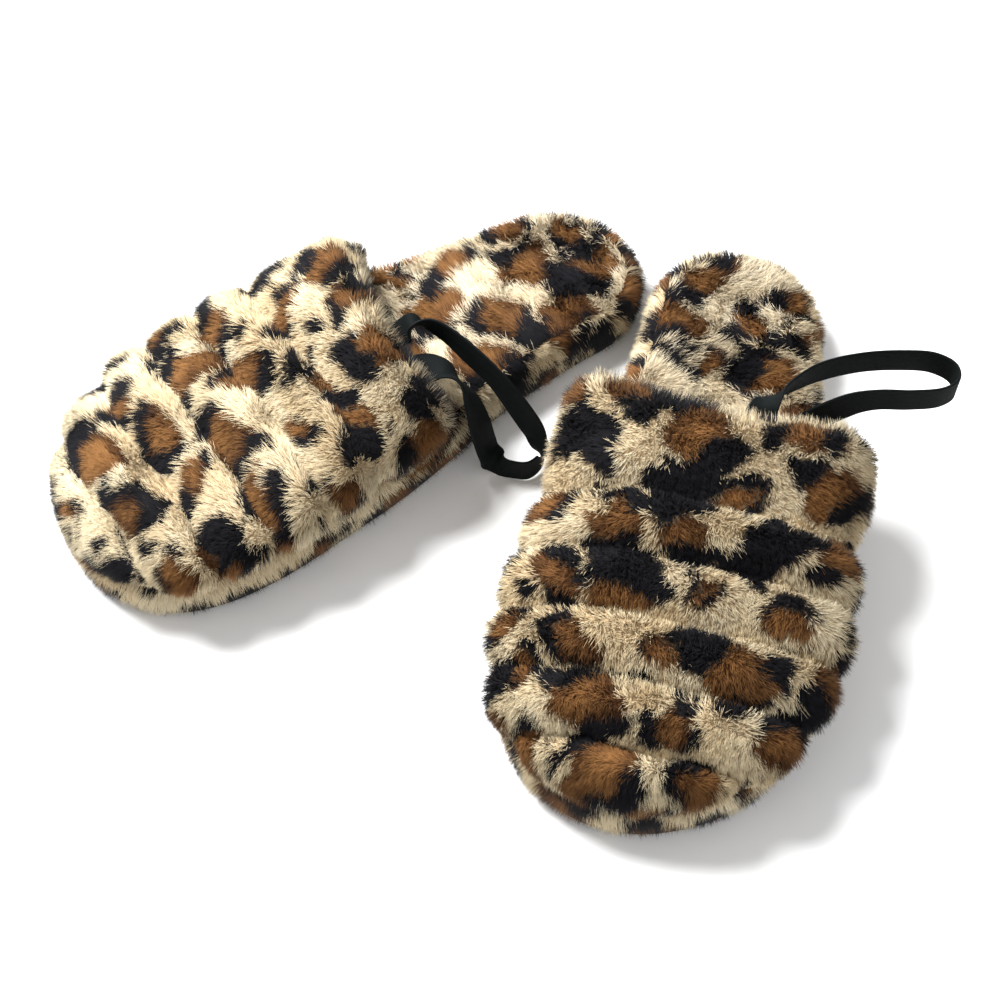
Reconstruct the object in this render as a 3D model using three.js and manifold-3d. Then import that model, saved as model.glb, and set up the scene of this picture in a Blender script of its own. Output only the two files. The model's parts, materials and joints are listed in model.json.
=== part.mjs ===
// A pair of closed-toe, open-back spa slippers with quilted plush uppers,
// padded soles and an elastic loop sewn inside each mouth.
// Millimetres, +Z up, toes towards -Y. A slipper's own frame has its heel at +Y,
// its toe at -Y and the middle of its length at Y = 0.
import * as THREE from "three";
import { mergeVertices } from "three/addons/utils/BufferGeometryUtils.js";
import Module from "manifold-3d";

const wasm = await Module();
wasm.setup();

// ---- driving dimensions ----
const soleLength = 256;
const ballHalfWidth = 54.5;
const heelHalfWidth = 36;
const flexLine = 42; // where the sole bends, ahead of the heel seat
const flexGap = 0.4; // clearance between the two halves of the sole
const clearance = 0.4; // between neighbouring layers

const outsoleThickness = 3;
const outsoleInset = 1.6;
const midsoleThickness = 9.5;
const insolePadThickness = 4;
const sockThickness = 4.6;
const bandWidth = 5.6; // plush wall round the edge of the sole
const bandTop = 20;

const mouthHeight = 57;
const toeHeight = 30;
const mouthBulge = 0.85; // how far the upper's sides swell past the sole, as a share of its half width
const toeBulge = 0.42;
const shellThickness = 5;
const paddingThickness = 3.6;
const liningThickness = 1.4;
const hemWidth = 4;
const hemInset = 1.4; // the hem is drawn in a little from the upper's face
const mouthScoop = { left: 17, right: 13 }; // how far the mouth's corners reach back
const mouthMiddle = { left: 14, right: 8 };
const mouthLean = { left: -3, right: -13 }; // the soft mouth leans a little to one side
const firstCrease = -22;
const creasePitch = 22;
const creaseCount = 5;
const puffHeight = 4.5;
const puffFullness = 0.7; // 1 for a plain sine across a channel, less for a flatter top
const backPuffLength = 24; // over which the puff behind the first crease rises
const toePuffLength = 10; // over which the puff beyond the last crease rises
const toeRounding = 20; // the toe's nose curves down to the sole over this length
const archFullness = 0.85; // 1 for an elliptical arch, less for squarer shoulders
const puffSpread = 0.6; // 1 fades the puffs evenly down the sides, less keeps them fuller
const bulgeFade = 40; // inset at which the inner layers swell half as much as the face

const strapWidth = 11;
const strapThickness = 1.2;
const tabLength = 16;
const tabReach = 0.8; // how far a sewn end shows past the hem
const tabClearance = 0.8; // from the lining
const strapGap = strapWidth / 6; // between a sewn end and the free loop

const outsoleTop = outsoleThickness;
const midsoleBase = outsoleTop + clearance;
const insolePadBase = midsoleBase + midsoleThickness + clearance;
const sockBase = insolePadBase + insolePadThickness + clearance;
const sockTop = sockBase + sockThickness;
const shellBase = bandTop + clearance;
const innerBase = sockTop + clearance;
const heelEnd = soleLength / 2;
const toeEnd = -soleLength / 2;
const paddingInset = shellThickness + clearance;
const liningInset = paddingInset + paddingThickness + clearance;
const pocketInset = liningInset + liningThickness;

// Where the back of each heel stands, and how far the slipper is turned about Z.
const places = {
  left: { x: 95.3, y: 120.9, turn: -10.5 },
  right: { x: 39.6, y: 130.9, turn: -52.5 },
};

// ---- materials ----
function finish(name, colour, roughness) {
  const material = new THREE.MeshStandardMaterial({ color: colour, roughness, metalness: 0 });
  material.name = name;
  return material;
}

const plush = finish("plush", 0xd9bf92, 0.95);
const footbedPlush = finish("footbed_plush", 0xe0cca2, 0.95);
const rubber = finish("outsole_rubber", 0x1a1a1c, 0.8);
const foam = finish("foam", 0xe8e4da, 0.9);
const wadding = finish("wadding", 0xf3f1ec, 0.95);
const lining = finish("lining", 0xcdb58a, 0.9);
const elastic = finish("elastic", 0x0c1718, 0.7);

// ---- solids ----
function solidFrom(geometry) {
  const bare = geometry.clone();
  bare.deleteAttribute("normal");
  bare.deleteAttribute("uv");
  const merged = mergeVertices(bare, 1e-4);
  const corners = merged.index.array;
  const faces = [];
  for (let i = 0; i < corners.length; i += 3) {
    const [a, b, c] = corners.slice(i, i + 3);
    if (a !== b && b !== c && a !== c) faces.push(a, b, c);
  }
  const mesh = new wasm.Mesh({
    numProp: 3,
    vertProperties: merged.attributes.position.array,
    triVerts: new Uint32Array(faces),
  });
  return new wasm.Manifold(mesh);
}

function geometryFrom(solid) {
  const mesh = solid.getMesh();
  const geometry = new THREE.BufferGeometry();
  geometry.setAttribute("position", new THREE.BufferAttribute(mesh.vertProperties, 3));
  geometry.setIndex(new THREE.BufferAttribute(mesh.triVerts, 1));
  geometry.computeVertexNormals();
  return geometry;
}

function meshFrom(solid, name, material) {
  const mesh = new THREE.Mesh(geometryFrom(solid), material);
  mesh.name = name;
  return mesh;
}

// A closed body through a row of rings, each an array of Vector3 in the same turning
// sense, with its first and last rings capped from their middles.
function loft(rings) {
  const points = rings.flat();
  const size = rings[0].length;
  const faces = [];
  for (let r = 0; r < rings.length - 1; r += 1) {
    for (let i = 0; i < size; i += 1) {
      const next = (i + 1) % size;
      const a = r * size + i;
      const b = r * size + next;
      faces.push(a, b, b + size, a, b + size, a + size);
    }
  }
  for (const [ring, start, flip] of [
    [rings[0], 0, true],
    [rings.at(-1), (rings.length - 1) * size, false],
  ]) {
    const middle = points.length;
    points.push(ring.reduce((sum, p) => sum.add(p), new THREE.Vector3()).divideScalar(size));
    for (let i = 0; i < size; i += 1) {
      const a = start + i;
      const b = start + ((i + 1) % size);
      faces.push(middle, flip ? b : a, flip ? a : b);
    }
  }
  const geometry = new THREE.BufferGeometry().setFromPoints(points);
  geometry.setIndex(faces);
  return geometry;
}

// A flat outline made into a plate between two heights.
function plate(outline, low, high) {
  const shape = new THREE.Shape(outline);
  const geometry = new THREE.ExtrudeGeometry(shape, { depth: high - low, bevelEnabled: false });
  return solidFrom(geometry.translate(0, 0, low));
}

function block(x0, x1, y0, y1, z0, z1) {
  const geometry = new THREE.BoxGeometry(x1 - x0, y1 - y0, z1 - z0);
  return solidFrom(geometry.translate((x0 + x1) / 2, (y0 + y1) / 2, (z0 + z1) / 2));
}

// ---- the sole's outline ----
// Each row is [share of the length from the heel, share of the half width there].
const outerEdge = [
  [0.013, 0.33],
  [0.055, 0.7],
  [0.111, 0.87],
  [0.19, 0.94],
  [0.33, 1.06],
  [0.43, 1.12],
  [0.54, 1.08],
  [0.65, 1],
  [0.76, 0.95],
  [0.85, 0.84],
  [0.93, 0.58],
  [0.982, 0.2],
];
const innerEdge = [
  [0.985, 0.52],
  [0.945, 0.81],
  [0.88, 0.98],
  [0.78, 1.05],
  [0.65, 1.05],
  [0.54, 1.1],
  [0.43, 1.12],
  [0.33, 1.07],
  [0.19, 1.02],
  [0.1, 0.99],
  [0.045, 0.8],
  [0.012, 0.5],
];
const toeTip = [1, -0.18];
const heelTip = [0, -0.12];

function halfWidthAt(share) {
  const blend = THREE.MathUtils.smoothstep(share, 0.25, 0.75);
  return THREE.MathUtils.lerp(heelHalfWidth, ballHalfWidth, blend);
}

// side is 1 for a slipper whose outer edge is at +X, and -1 for its mirror image.
function outlineCurve(side) {
  const place = ([share, across], sign) =>
    new THREE.Vector3(side * sign * across * halfWidthAt(share), heelEnd - share * soleLength, 0);
  const points = [
    place(heelTip, 1),
    ...outerEdge.map((row) => place(row, 1)),
    place(toeTip, 1),
    ...innerEdge.map((row) => place(row, -1)),
  ];
  return new THREE.CatmullRomCurve3(points, true, "centripetal");
}

function insetOutline(side, inset, count) {
  const curve = outlineCurve(side);
  const points = [];
  for (let i = 0; i < count; i += 1) {
    const point = curve.getPointAt(i / count);
    const along = curve.getTangentAt(i / count);
    const x = point.x + side * inset * along.y;
    const y = point.y - side * inset * along.x;
    points.push(new THREE.Vector2(x, y));
  }
  return points;
}

// The widest and narrowest X of an outline at one Y.
function sidesAt(outline, y) {
  const crossings = [];
  outline.forEach((a, i) => {
    const b = outline[(i + 1) % outline.length];
    if ((a.y - y) * (b.y - y) > 0 || a.y === b.y) return;
    crossings.push(a.x + ((b.x - a.x) * (y - a.y)) / (b.y - a.y));
  });
  return [Math.min(...crossings), Math.max(...crossings)];
}

// ---- the sole ----
const outlineSteps = 52;
const domeOutlineSteps = 160;
const reach = 400; // longer than any part of a slipper

function frontOf(solid) {
  return solid.intersect(block(-reach, reach, -reach, flexLine - flexGap / 2, -reach, reach));
}

function heelOf(solid) {
  return solid.intersect(block(-reach, reach, flexLine + flexGap / 2, reach, -reach, reach));
}

function soleLayers(side) {
  const core = insetOutline(side, bandWidth + clearance, outlineSteps);
  const edge = insetOutline(side, 0, outlineSteps);
  const under = insetOutline(side, outsoleInset, outlineSteps);
  const wall = plate(edge, midsoleBase, bandTop).subtract(
    plate(insetOutline(side, bandWidth, outlineSteps), 0, reach),
  );
  return [
    ["outsole", plate(under, 0, outsoleTop), rubber],
    ["midsole", plate(core, midsoleBase, midsoleBase + midsoleThickness), foam],
    ["insole_pad", plate(core, insolePadBase, insolePadBase + insolePadThickness), foam],
    ["footbed", plate(core, sockBase, sockTop), footbedPlush],
    ["side_band", wall, plush],
  ];
}

// ---- the upper ----
const archSteps = 14;
const mouthSteps = 16;
const mouthOverhang = 8; // how far past the ball's half width the mouth's cut reaches
const upperBack = flexLine + 8; // the raw upper runs on past its mouth and is cut there

// The upper's height along its middle, before its creases puff up.
function crownAt(y) {
  const share = THREE.MathUtils.clamp((mouthMiddle.left - y) / (mouthMiddle.left - toeEnd), 0, 1);
  return THREE.MathUtils.lerp(mouthHeight, toeHeight, THREE.MathUtils.smoothstep(share, -0.1, 1.05));
}

// How far the quilted channels stand above their creases.
function puffAt(y) {
  const lastCrease = firstCrease - creasePitch * (creaseCount - 1);
  if (y >= firstCrease) {
    const share = Math.min(1, (y - firstCrease) / backPuffLength);
    return puffHeight * Math.sin((Math.PI / 2) * share) ** puffFullness;
  }
  if (y <= lastCrease) {
    const share = Math.min(1, (lastCrease - y) / toePuffLength);
    return puffHeight * Math.sin((Math.PI / 2) * share);
  }
  const share = (firstCrease - y) / creasePitch;
  return puffHeight * Math.abs(Math.sin(Math.PI * share)) ** puffFullness;
}

function bulgeAt(y) {
  const share = THREE.MathUtils.smoothstep(y, firstCrease, flexLine);
  return THREE.MathUtils.lerp(toeBulge, mouthBulge, share);
}

// A point on the upper at one inset, at Y = y and arch angle turn (0 at +X, PI at -X).
function archPoint(outline, inset, y, turn, puff) {
  const [low, high] = sidesAt(outline, y);
  const middle = (low + high) / 2;
  const half = (high - low) / 2;
  const toe = toeEnd + inset;
  const nearToe = Math.max(0, 1 - (y - toe) / toeRounding);
  const rounding = Math.sqrt(Math.max(0, 1 - nearToe ** 2));
  const height = (crownAt(y) - inset - shellBase) * rounding;
  const lift = puff * rounding * Math.sin(turn) ** puffSpread;
  const bulge = (bulgeAt(y) * Math.sin(turn)) / (1 + inset / bulgeFade);
  const across = Math.cos(turn) * (1 + bulge);
  return new THREE.Vector3(
    middle + half * across + lift * Math.cos(turn),
    y,
    shellBase + height * Math.sin(turn) ** archFullness + lift * Math.sin(turn),
  );
}

// The upper as a solid dome at one inset, from behind the mouth to the toe, with its
// sides carried straight down past the floor.
function dome(side, inset, rows, puffed) {
  const outline = insetOutline(side, inset, domeOutlineSteps);
  const toe = Math.min(...outline.map((p) => p.y)) + 0.01;
  const rings = rows(toe).map((y) => {
    const puff = puffed ? puffAt(y) : 0;
    const ring = [];
    for (let i = 0; i <= archSteps; i += 1) {
      ring.push(archPoint(outline, inset, y, (Math.PI * i) / archSteps, puff));
    }
    const down = (point) => new THREE.Vector3(point.x, point.y, -clearance);
    return [down(ring[0]), ...ring, down(ring.at(-1))];
  });
  return solidFrom(loft(rings));
}

function smoothRows(toe) {
  const rows = [];
  const count = 12;
  for (let i = 0; i <= count; i += 1) {
    const share = 1 - Math.sin((Math.PI / 2) * (i / count));
    rows.push(toe + (upperBack - toe) * share);
  }
  return rows;
}

function quiltedRows(toe) {
  const lastCrease = firstCrease - creasePitch * (creaseCount - 1);
  const rows = [upperBack];
  for (const ahead of [52, 36, 22, 11, 5]) rows.push(firstCrease + ahead);
  for (let y = firstCrease; y > lastCrease; y -= creasePitch) {
    for (const share of [0, 0.2, 0.5, 0.8]) rows.push(y - share * creasePitch);
  }
  for (const share of [0, 0.2, 0.45, 0.68, 0.85, 0.96, 1]) {
    rows.push(THREE.MathUtils.lerp(lastCrease, toe, share));
  }
  return rows;
}

// Everything behind the mouth's edge, as one solid to cut with.
function behindMouth(foot, setBack) {
  const half = ballHalfWidth + mouthOverhang;
  const edgeAt = (across) => mouthEdge(foot, across * ballHalfWidth) + setBack;
  const outline = [
    new THREE.Vector2(reach, edgeAt(1)),
    new THREE.Vector2(reach, reach),
    new THREE.Vector2(-reach, reach),
    new THREE.Vector2(-reach, edgeAt(-1)),
  ];
  for (let i = 0; i <= mouthSteps; i += 1) {
    const across = (2 * i) / mouthSteps - 1;
    outline.push(new THREE.Vector2(across * half, edgeAt(across)));
  }
  return plate(outline, -reach, reach);
}

// Y of the mouth's edge at one x, where the raw upper is cut.
function mouthEdge(foot, x) {
  const across = x / ballHalfWidth;
  return mouthMiddle[foot] + mouthScoop[foot] * across ** 2 + mouthLean[foot] * across;
}

function upperLayers(foot, side) {
  const smoothDome = (inset) => dome(side, inset, smoothRows, false);
  const quilted = dome(side, 0, quiltedRows, true);
  const behind = behindMouth(foot, 0);
  const hemStrip = behindMouth(foot, clearance).subtract(
    behindMouth(foot, clearance + hemWidth),
  );
  const below = (height) => block(-reach, reach, -reach, reach, -reach, height);
  const footwell = plate(insetOutline(side, bandWidth, outlineSteps), 0, innerBase);
  const sole = footwell.add(below(shellBase));
  const layer = (outer, inner, floor) => outer.subtract(smoothDome(inner)).subtract(floor);
  const shell = layer(quilted, shellThickness, sole);
  const paddingFace = smoothDome(paddingInset);
  const padding = layer(paddingFace, paddingInset + paddingThickness, below(innerBase));
  const pocketLining = layer(smoothDome(liningInset), pocketInset, below(innerBase));
  const hem = layer(smoothDome(hemInset), pocketInset, sole);
  return [
    ["upper_shell", shell.subtract(behind), plush],
    ["upper_padding", padding.subtract(behind), wadding],
    ["upper_lining", pocketLining.subtract(behind), lining],
    ["mouth_hem", hem.intersect(hemStrip), plush],
  ];
}

// ---- the elastic loop ----
// Each loop's sewn ends, by where they lie across the mouth, and its route between them:
// rows of [x, y, z, width direction x, y, z], chosen by hand, with y taken to the
// elastic's edge that is nearer the toe.
const loops = {
  left: {
    ends: [0.24 * ballHalfWidth, 0.53 * ballHalfWidth],
    route: [
      [17, 28, 49, 0.8, 0, 0.6],
      [23, 35, 51.5, 0.3, 0, 1],
      [33, 43, 53.5, 0, 0, 1],
      [46, 49, 55, 0, 0, 1],
      [60, 53, 55.5, 0, 0, 1],
      [72, 55, 55, 0, 0, 1],
      [79.5, 52, 54.5, 0, 0, 1],
      [81, 46, 54, 0, 0, 1],
      [76.5, 41, 53.5, 0, 0, 1],
      [66, 37.5, 53, 0, 0, 1],
      [55, 35.5, 52.5, -0.1, 0, 1],
      [44, 32.5, 49.5, -0.6, 0, 1],
    ],
  },
  right: {
    ends: [0.24 * ballHalfWidth, 0.53 * ballHalfWidth],
    route: [
      [17, 18, 49, 0.8, 0, 0.6],
      [26, 24, 50, 0.2, 0, 1],
      [38, 26.5, 47, 0.2, 0.2, 1],
      [50, 30.5, 40, 0.5, 0.3, 0.8],
      [59, 34, 28, 0.5, 0.4, 0.6],
      [65, 39, 15, 0.3, 0.2, 1],
      [70, 38.5, 7.5, 0, 0.1, 1],
      [71, 32, 6.4, 0, 0, 1],
      [66.5, 26.5, 6.6, 0, 0, 1],
      [60.5, 21.5, 8, -0.5, 0.4, 1],
      [57.5, 17, 15, -0.4, 1, 0.3],
      [55, 15.5, 25, -0.3, 1, 0],
      [50, 16, 35, -0.5, 0.8, -0.3],
      [41, 18.5, 42, -0.95, 0, -0.3],
    ],
  },
};

const loopSteps = 44;

// The arch angle at which the upper's surface passes one x.
function turnAt(outline, inset, y, x) {
  let turn = Math.PI / 2;
  for (let step = Math.PI / 4; step > 1e-4; step /= 2) {
    turn += archPoint(outline, inset, y, turn, 0).x > x ? step : -step;
  }
  return turn;
}

// A sewn end of the elastic: a flat strip that lies along the lining, from inside the
// mouth to just past the hem.
function sewnEnd(foot, side, x) {
  const inset = pocketInset + tabClearance;
  const outline = insetOutline(side, inset, domeOutlineSteps);
  const under = insetOutline(side, inset + strapThickness, domeOutlineSteps);
  const rings = [0, 0.5, 1].map((share) => {
    const top = [];
    const bottom = [];
    for (const offset of [-1 / 2, -1 / 6, 1 / 6, 1 / 2]) {
      const across = x + offset * strapWidth;
      const y = endFront(foot, across) - share * tabLength;
      const turn = turnAt(outline, inset, y, across);
      top.push(archPoint(outline, inset, y, turn, 0));
      bottom.push(archPoint(under, inset + strapThickness, y, turn, 0));
    }
    return [...bottom, ...top.reverse()];
  });
  return solidFrom(loft(rings));
}

// Where a sewn end stops, just past the hem.
function endFront(foot, x) {
  return mouthEdge(foot, x) + clearance + hemWidth + tabReach;
}

// The middle of the free loop's end, a gap behind the sewn one.
function endMiddle(foot, side, x) {
  const inset = pocketInset + tabClearance + strapThickness / 2;
  const outline = insetOutline(side, inset, domeOutlineSteps);
  const y = endFront(foot, x);
  const turn = turnAt(outline, inset, y, x);
  return archPoint(outline, inset, y + strapGap, turn, 0);
}

function routeStop(row) {
  const across = new THREE.Vector3(...row.slice(3)).normalize();
  const middle = new THREE.Vector3(...row.slice(0, 3));
  middle.y += (Math.abs(across.y) * strapWidth) / 2;
  return [middle, across];
}

function elasticLoop(foot, side) {
  const { ends, route } = loops[foot];
  const [first, last] = ends.map((x) => endMiddle(foot, side, x));
  const axis = last.clone().sub(first).normalize();
  const stops = [[first, axis], ...route.map(routeStop), [last, axis.clone().negate()]];
  const curveOf = (points) => new THREE.CatmullRomCurve3(points, false, "centripetal");
  const path = curveOf(stops.map((stop) => stop[0]));
  const widths = curveOf(stops.map((stop) => stop[1]));
  const rings = [];
  for (let i = 0; i <= loopSteps; i += 1) {
    const middle = path.getPoint(i / loopSteps);
    const along = path.getTangent(i / loopSteps);
    const across = widths.getPoint(i / loopSteps);
    if (i > 0 && i < loopSteps) across.addScaledVector(along, -across.dot(along));
    across.setLength(strapWidth / 2);
    const out = new THREE.Vector3().crossVectors(along, across).setLength(strapThickness / 2);
    const corner = (a, b) =>
      middle.clone().addScaledVector(across, a).addScaledVector(out, b);
    rings.push([corner(1, 1), corner(-1, 1), corner(-1, -1), corner(1, -1)]);
  }
  return solidFrom(loft(rings));
}

// ---- assembly ----
function slipper(foot, side) {
  const group = new THREE.Group();
  for (const [name, solid, material] of soleLayers(side)) {
    group.add(meshFrom(frontOf(solid), `${foot}_${name}_front`, material));
    group.add(meshFrom(heelOf(solid), `${foot}_${name}_heel`, material));
  }
  for (const [name, solid, material] of upperLayers(foot, side)) {
    group.add(meshFrom(solid, `${foot}_${name}`, material));
  }
  loops[foot].ends.forEach((x, i) => {
    const name = `${foot}_loop_end_${["middle", "side"][i]}`;
    group.add(meshFrom(sewnEnd(foot, side, x), name, elastic));
  });
  group.add(meshFrom(elasticLoop(foot, side), `${foot}_elastic_loop`, elastic));
  const { x, y, turn } = places[foot];
  group.rotation.z = THREE.MathUtils.degToRad(turn);
  group.position.set(x, y, 0).sub(new THREE.Vector3(0, heelEnd, 0).applyEuler(group.rotation));
  return group;
}

const pair = new THREE.Group();
pair.add(slipper("left", 1), slipper("right", -1));

// The pair's frame has its origin under the middle of its box.
const box = new THREE.Box3().setFromObject(pair, true);
pair.position.set(-(box.min.x + box.max.x) / 2, -(box.min.y + box.max.y) / 2, -box.min.z);

export default pair;
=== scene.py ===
"""A pair of quilted plush spa slippers: printed pile over padded soles, with an elastic loop in each mouth.

Sizes are in millimetres in a slipper's own frame, whose heel is at +Y and toe at -Y, until
a piece is put in its place. The left slipper's outer edge is at +X, the right one's at -X.
"""
import json
import math

import bpy
import numpy as np
from mathutils import Matrix, Vector


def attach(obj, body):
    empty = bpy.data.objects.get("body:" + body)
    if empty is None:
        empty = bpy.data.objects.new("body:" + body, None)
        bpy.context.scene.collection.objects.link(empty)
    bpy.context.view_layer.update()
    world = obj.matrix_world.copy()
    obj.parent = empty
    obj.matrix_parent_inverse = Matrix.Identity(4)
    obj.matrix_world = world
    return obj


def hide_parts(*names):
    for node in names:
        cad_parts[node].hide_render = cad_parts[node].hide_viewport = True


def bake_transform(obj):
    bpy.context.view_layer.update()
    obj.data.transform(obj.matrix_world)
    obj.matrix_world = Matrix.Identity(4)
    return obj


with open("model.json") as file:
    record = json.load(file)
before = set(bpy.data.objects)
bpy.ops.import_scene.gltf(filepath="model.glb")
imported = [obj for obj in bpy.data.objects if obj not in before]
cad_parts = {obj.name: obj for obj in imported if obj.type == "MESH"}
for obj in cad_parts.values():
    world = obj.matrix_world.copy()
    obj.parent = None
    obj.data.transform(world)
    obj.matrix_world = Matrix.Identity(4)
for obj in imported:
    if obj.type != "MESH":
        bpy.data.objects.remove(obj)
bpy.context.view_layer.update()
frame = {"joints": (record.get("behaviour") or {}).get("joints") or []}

MM = 0.001
FEET = {"left": 1, "right": -1}

# ---- sizes of the slipper ----
SOLE_LENGTH = 256.0
BALL_HALF = 54.5
HEEL_HALF = 36.0
FLEX_Y = 42.0
SOCK_TOP = 22.3
SHELL_BASE = 20.4
HEEL_END = SOLE_LENGTH / 2
TOE_END = -SOLE_LENGTH / 2
MOUTH_HEIGHT = 57.0
TOE_HEIGHT = 30.0
MOUTH = {"left": (14.0, 17.0, -3.0), "right": (8.0, 13.0, -13.0)}
FIRST_CREASE = -22.0
CREASE_PITCH = 22.0
CREASES = 5
SLUMP = {"left": 0.0, "right": 0.85}
SLUMP_DROP = 0.16
PUFF = 7.2
PILE_ROOM = 2.8
POCKET = 10.8
STRAP_WIDTH = 11.0
STRAP_GAP = STRAP_WIDTH / 6

joints = {joint["name"]: joint for joint in frame["joints"]}


def slipper_home(foot):
    """The matrix from a slipper's own frame, in metres, to the pair's frame."""
    flex = joints[f"{foot}_sole_flex"]
    across = Vector(flex["axis"])
    along = Vector((0, 0, 1)).cross(across)
    up = Vector((0, 0, 1))
    origin = Vector(flex["pos_m"]) - along * FLEX_Y * MM - up * SOCK_TOP * MM
    turn = Matrix((across, along, up)).transposed().to_4x4()
    return Matrix.Translation(origin) @ turn


HOMES = {foot: slipper_home(foot) for foot in FEET}


# ---- camera ----
VIEW_ELEVATION = math.radians(55.0)
VIEW_BEARING = math.radians(2.7)
VIEW_DISTANCE = 0.618
VIEW_AIM = Vector((0.0014, 0, 0))
VIEW_LENS = 58

camera_data = bpy.data.cameras.new("camera")
camera = bpy.data.objects.new("camera", camera_data)
bpy.context.scene.collection.objects.link(camera)
camera_data.sensor_width = 36
camera_data.lens = VIEW_LENS
level = math.cos(VIEW_ELEVATION)
toward = Vector((level * math.sin(VIEW_BEARING), -level * math.cos(VIEW_BEARING), math.sin(VIEW_ELEVATION)))
camera.location = VIEW_AIM + toward * VIEW_DISTANCE
camera.rotation_euler = (math.pi / 2 - VIEW_ELEVATION, 0, VIEW_BEARING)
bpy.context.scene.camera = camera


# ---- smooth random fields ----
def scatter(*keys):
    """A steady random number in 0..1 for each set of whole-number keys."""
    total = np.uint64(0x9E3779B97F4A7C15)
    mixed = np.zeros(np.broadcast(*keys).shape, np.uint64) + total
    for key in keys:
        mixed = mixed ^ np.asarray(key, np.int64).astype(np.uint64)
        mixed = mixed * np.uint64(0xBF58476D1CE4E5B9)
        mixed = mixed ^ (mixed >> np.uint64(29))
        mixed = mixed * np.uint64(0x94D049BB133111EB)
        mixed = mixed ^ (mixed >> np.uint64(31))
    return (mixed >> np.uint64(11)).astype(float) / float(1 << 53)


def drift(u, v, cell, seed):
    """Smooth noise in -1..1 whose bumps are about cell apart."""
    u, v = np.asarray(u, float) / cell, np.asarray(v, float) / cell
    i, j = np.floor(u).astype(np.int64), np.floor(v).astype(np.int64)
    s, t = u - i, v - j
    s, t = s * s * (3 - 2 * s), t * t * (3 - 2 * t)
    near = scatter(i, j, seed) * (1 - s) + scatter(i + 1, j, seed) * s
    far = scatter(i, j + 1, seed) * (1 - s) + scatter(i + 1, j + 1, seed) * s
    return 2 * (near * (1 - t) + far * t) - 1


def ease(value, low, high):
    share = np.clip((value - low) / (high - low), 0, 1)
    return share * share * (3 - 2 * share)


# ---- the leopard print ----
ROSETTE_PITCH = 29.0
ROW_PITCH = 0.84
SPOT_PITCH = 15.0


def nearest_spot(u, v, seed, pitch):
    """The nearest spot's radius and bearing in its own ellipse, and its random numbers."""
    best = np.full(u.shape, 9.0)
    bearing = np.zeros(u.shape)
    pick = np.zeros(u.shape + (4,))
    column, row = np.floor(u / pitch), np.floor(v / (pitch * ROW_PITCH))
    for dj in range(-2, 3):
        for di in range(-2, 3):
            j = (row + dj).astype(np.int64)
            i = (column + di).astype(np.int64)
            r = [scatter(i, j, seed + k) for k in range(8)]
            cu = (i + 0.5 + 0.5 * (j % 2) + 0.5 * (r[0] - 0.5)) * pitch
            cv = (j + 0.5 + 0.5 * (r[1] - 0.5)) * pitch * ROW_PITCH
            long_half = pitch * (0.27 + 0.27 * r[2])
            short_half = long_half * (0.58 + 0.34 * r[3])
            turn = 0.6 * (r[4] - 0.5) * math.pi
            du, dv = u - cu, v - cv
            a = (du * np.cos(turn) + dv * np.sin(turn)) / long_half
            b = (dv * np.cos(turn) - du * np.sin(turn)) / short_half
            radius = np.hypot(a, b)
            nearer = radius < best
            best = np.where(nearer, radius, best)
            bearing = np.where(nearer, np.arctan2(b, a), bearing)
            for k in range(4):
                pick[..., k] = np.where(nearer, r[4 + k], pick[..., k])
    return best, bearing, pick


def leopard(u, v, seed):
    """Brown and black at points of the cloth, and how near each point is to its spot's middle."""
    warp_u = u + 5.2 * drift(u, v, 14, seed + 11) + 2.1 * drift(u, v, 5, seed + 12)
    warp_v = v + 5.2 * drift(u, v, 14, seed + 13) + 2.1 * drift(u, v, 5, seed + 14)
    radius, bearing, pick = nearest_spot(warp_u, warp_v, seed, ROSETTE_PITCH)
    solid = pick[..., 1] < 0.1
    wave = np.sin((1 + np.floor(pick[..., 3] * 2.4)) * bearing + pick[..., 2] * 40)
    wave = wave + 0.7 * np.sin(2 * bearing + pick[..., 0] * 25) + 0.35 * drift(u, v, 6, seed + 16)
    brown = (radius < 0.8 + 0.12 * drift(u, v, 8, seed + 17)) & ~solid
    half = 0.06 + 0.36 * ease(wave, -0.4, 0.7)
    ring = (np.abs(radius - 0.93) < half) & (wave > -0.25)
    black = ring | (solid & (radius < 0.7))
    small, _, chance = nearest_spot(warp_u, warp_v, seed + 50, SPOT_PITCH)
    black |= (small < 0.9) & (chance[..., 2] < 0.4) & (radius > 1.25)
    heart = np.clip(1 - radius / 0.8, 0, 1)
    return (brown & ~black).astype(float), black.astype(float), heart


# ---- the outline of the sole ----
# Each edge from its own start: the share of the length from the heel, and of the half width there.
OUTER_EDGE = [
    (0.013, 0.33), (0.055, 0.7), (0.111, 0.87), (0.19, 0.94), (0.33, 1.06), (0.43, 1.12),
    (0.54, 1.08), (0.65, 1), (0.76, 0.95), (0.85, 0.84), (0.93, 0.58), (0.982, 0.2),
]
INNER_EDGE = [
    (0.985, 0.52), (0.945, 0.81), (0.88, 0.98), (0.78, 1.05), (0.65, 1.05), (0.54, 1.1),
    (0.43, 1.12), (0.33, 1.07), (0.19, 1.02), (0.1, 0.99), (0.045, 0.8), (0.012, 0.5),
]


def run_along(points):
    """The distance from the first point to each point, along the line through them."""
    return np.concatenate([[0], np.cumsum(np.linalg.norm(np.diff(points, axis=0), axis=1))])


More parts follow.
